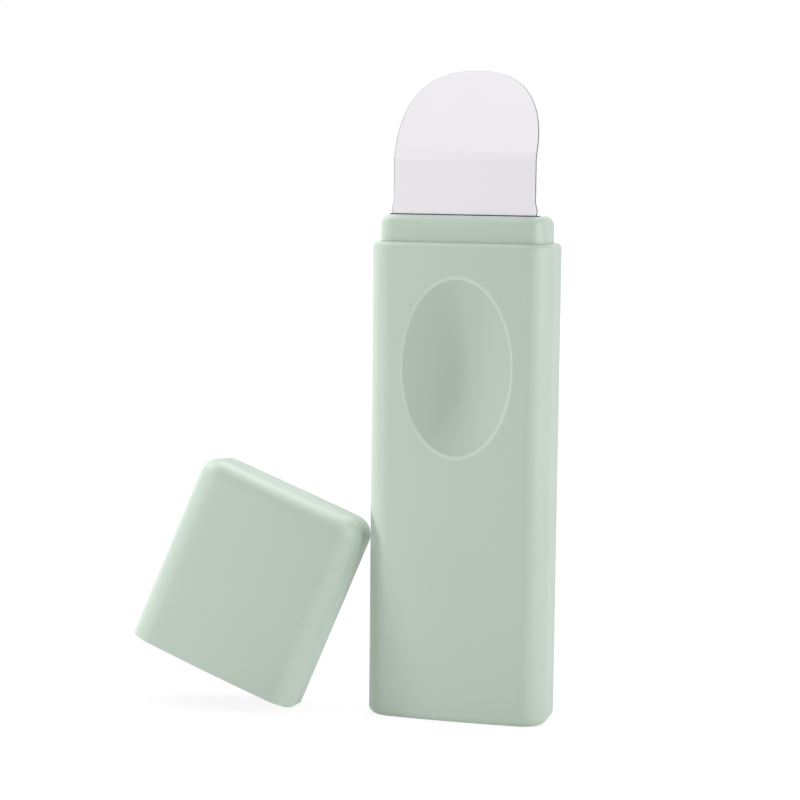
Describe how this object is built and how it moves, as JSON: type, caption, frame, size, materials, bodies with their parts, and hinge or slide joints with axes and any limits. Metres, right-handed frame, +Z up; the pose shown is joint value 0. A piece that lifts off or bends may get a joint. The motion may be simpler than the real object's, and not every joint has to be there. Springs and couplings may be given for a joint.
{
  "type": "blackhead extractor",
  "caption": "Slim battery-powered skin spatula for clearing pores: rounded handle with a thumb dish, a thin bent steel blade that vibrates, and a pull-off cap standing beside it.",
  "frame": {"origin": "middle of the handle's flat bottom end, on which the tool stands", "axes": "+Z up the handle towards the blade, -Y out of the front face with the thumb dish, +X to the right seen from the front"},
  "size_m": [0.0702, 0.0175, 0.1055],
  "materials": {
    "shell_plastic": "fine matte moulded surface, soft mint green",
    "collar_plastic": "fine matte moulded surface, soft mint green",
    "cap_plastic": "fine matte moulded surface, soft mint green",
    "button_plastic": "fine matte moulded surface, soft mint green",
    "blade_steel": "fine satin stainless sheet",
    "seal_rubber": "dark soft moulding",
    "clamp_steel": "plain",
    "screw_steel": "zinc plated",
    "horn_metal": "turned and milled",
    "piezo_ceramic": "fired, silvered faces",
    "contact_brass": "stamped",
    "mass_steel": "turned",
    "isolator_rubber": "soft moulding",
    "chassis_plastic": "natural moulding",
    "battery_wrap": "laminated pouch",
    "pad_foam": "closed-cell foam",
    "board_laminate": "green solder mask",
    "chip_plastic": "moulded package",
    "coil_ferrite": "ferrite",
    "capacitor_ceramic": "fired",
    "led_body": "clear moulding",
    "guide_plastic": "clear moulding",
    "switch_plastic": "moulded",
    "socket_steel": "drawn shell",
    "tongue_plastic": "moulded",
    "battery_lead_cover": "insulated wire",
    "stack_lead_cover": "insulated wire"
  },
  "bodies": {
    "handle": {"handle_shell": "shell_plastic", "head_collar": "collar_plastic", "blade": "blade_steel", "blade_seal": "seal_rubber", "blade_clamp": "clamp_steel", "clamp_screws": "screw_steel", "horn": "horn_metal", "piezo_rings": "piezo_ceramic", "piezo_contacts": "contact_brass", "back_mass": "mass_steel", "stack_bolt": "screw_steel", "stack_isolators": "isolator_rubber", "chassis": "chassis_plastic", "battery": "battery_wrap", "battery_pad": "pad_foam", "circuit_board": "board_laminate", "board_screws": "screw_steel", "control_chip": "chip_plastic", "drive_coil": "coil_ferrite", "board_capacitors": "capacitor_ceramic", "status_led": "led_body", "light_guide": "guide_plastic", "tact_switch": "switch_plastic", "charging_socket": "socket_steel", "socket_tongue": "tongue_plastic", "socket_seal": "seal_rubber", "battery_leads": "battery_lead_cover", "stack_leads": "stack_lead_cover"},
    "power_button": {"power_button": "button_plastic", "switch_plunger": "switch_plastic"},
    "cap": {"cap_shell": "cap_plastic"}
  },
  "joints": [
    {"name": "button_press", "type": "slide", "parent": "handle", "child": "power_button", "axis": [0, -1, 0], "range_m": [0, 0.0004], "stiffness_N_per_m": 1500, "springref_m": -0.0004},
    {"name": "cap_lift", "type": "slide", "parent": "handle", "child": "cap", "axis": [0, 0, 1], "range_m": [0, 0.12]}
  ]
}
